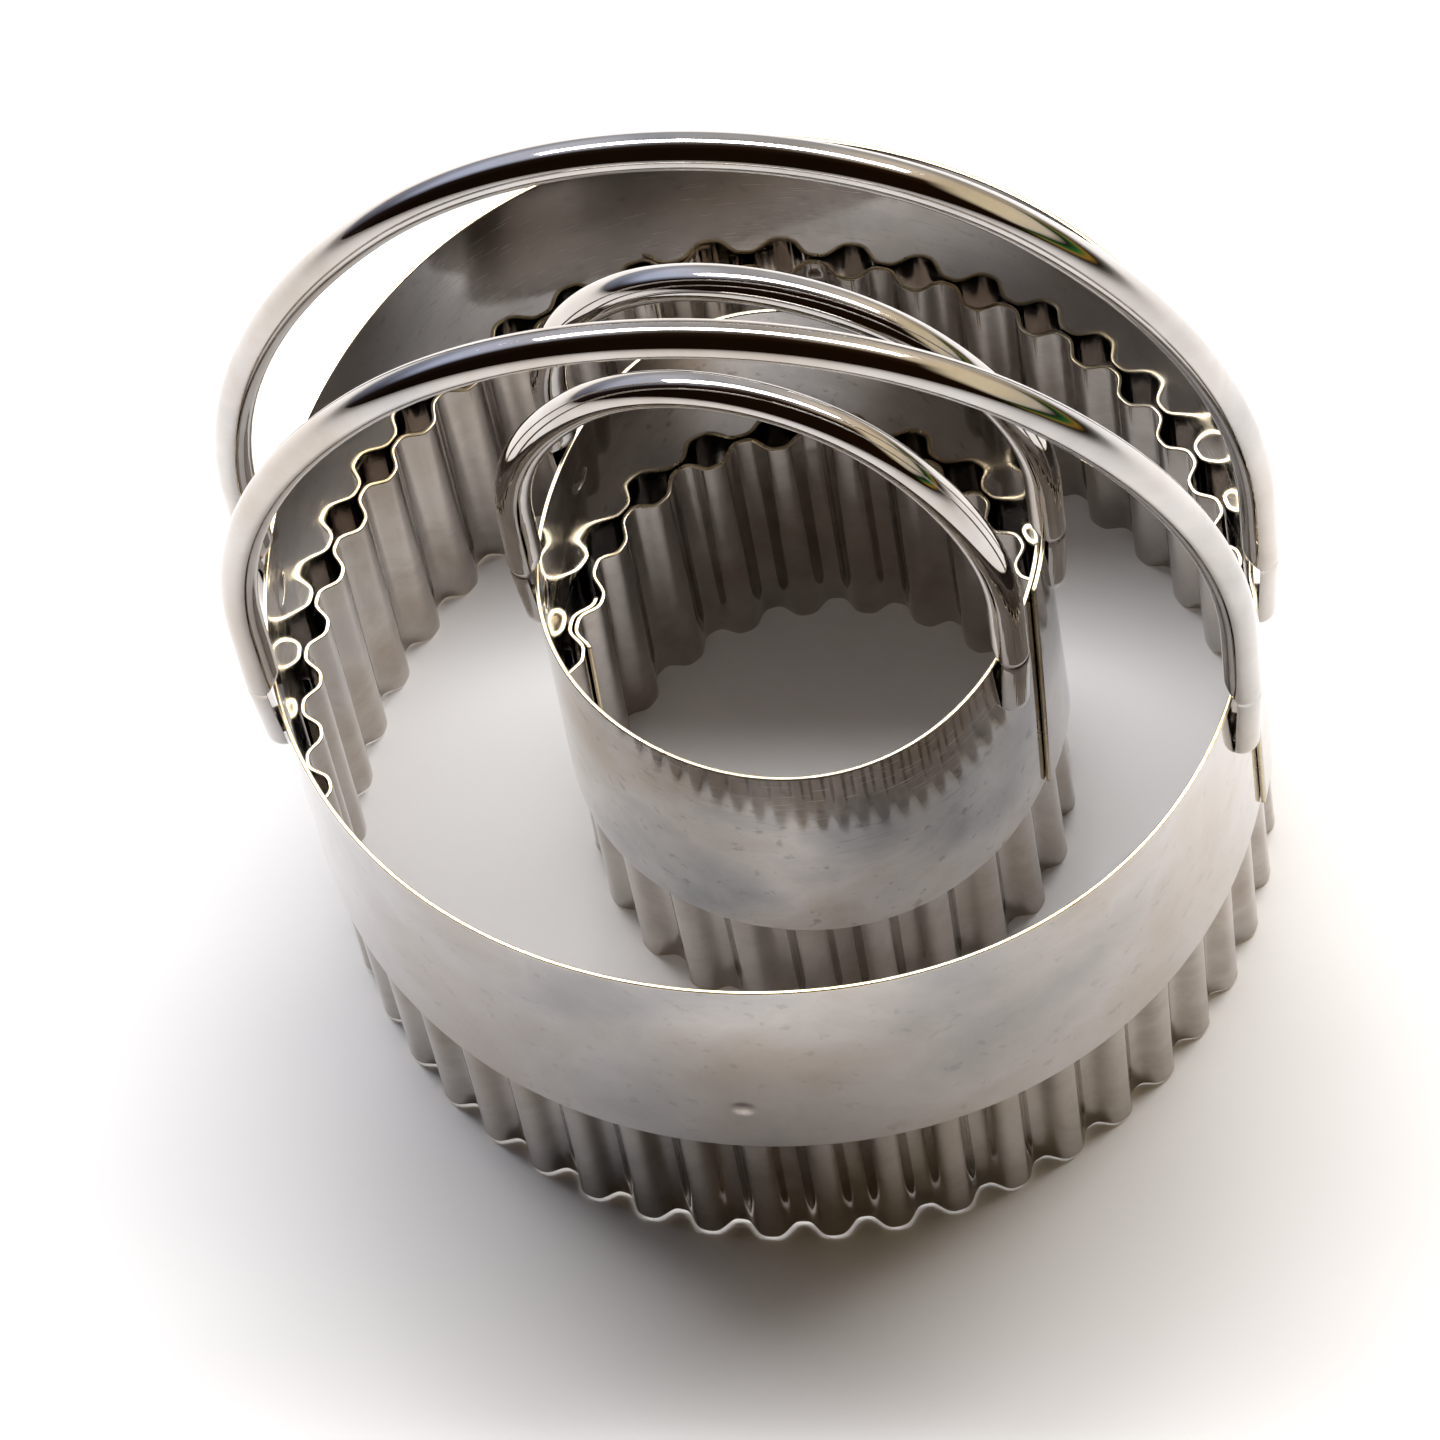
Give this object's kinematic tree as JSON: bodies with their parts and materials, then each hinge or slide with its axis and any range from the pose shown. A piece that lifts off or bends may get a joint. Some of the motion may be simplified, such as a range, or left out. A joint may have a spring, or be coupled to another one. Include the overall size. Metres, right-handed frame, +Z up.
{
  "type": "fluted biscuit cutter set",
  "caption": "Nested pair of round fluted biscuit cutters in stainless steel, each a plain band over a fluted cutting ring with twin arched wire handles.",
  "frame": {"origin": "middle of the large cutter's round outline, at the level of the cutting edges, which is the surface that both cutters stand on", "axes": "+Z up, from the cutting edges to the handles; X along the handles, from foot to foot; -Y towards the front handle"},
  "size_m": [0.0936, 0.089, 0.1132],
  "materials": {
    "band_sheet": "bright-rolled stainless sheet, lightly stained",
    "ring_sheet": "bright-rolled stainless sheet, fluted",
    "handle_wire": "mirror-polished stainless wire",
    "spot_weld": "dull weld metal"
  },
  "bodies": {
    "small_cutter": {"small_band": "band_sheet", "small_fluted_ring": "ring_sheet", "small_front_handle": "handle_wire", "small_back_handle": "handle_wire", "small_seam_welds": "spot_weld", "small_ring_welds": "spot_weld", "small_handle_welds": "spot_weld"},
    "large_cutter": {"large_band": "band_sheet", "large_fluted_ring": "ring_sheet", "large_front_handle": "handle_wire", "large_back_handle": "handle_wire", "large_seam_welds": "spot_weld", "large_ring_welds": "spot_weld", "large_handle_welds": "spot_weld"}
  },
  "joints": [
    {"name": "lift_off", "type": "slide", "parent": "small_cutter", "child": "large_cutter", "axis": [0, 0, 1], "range_m": [0, 0.095]}
  ]
}
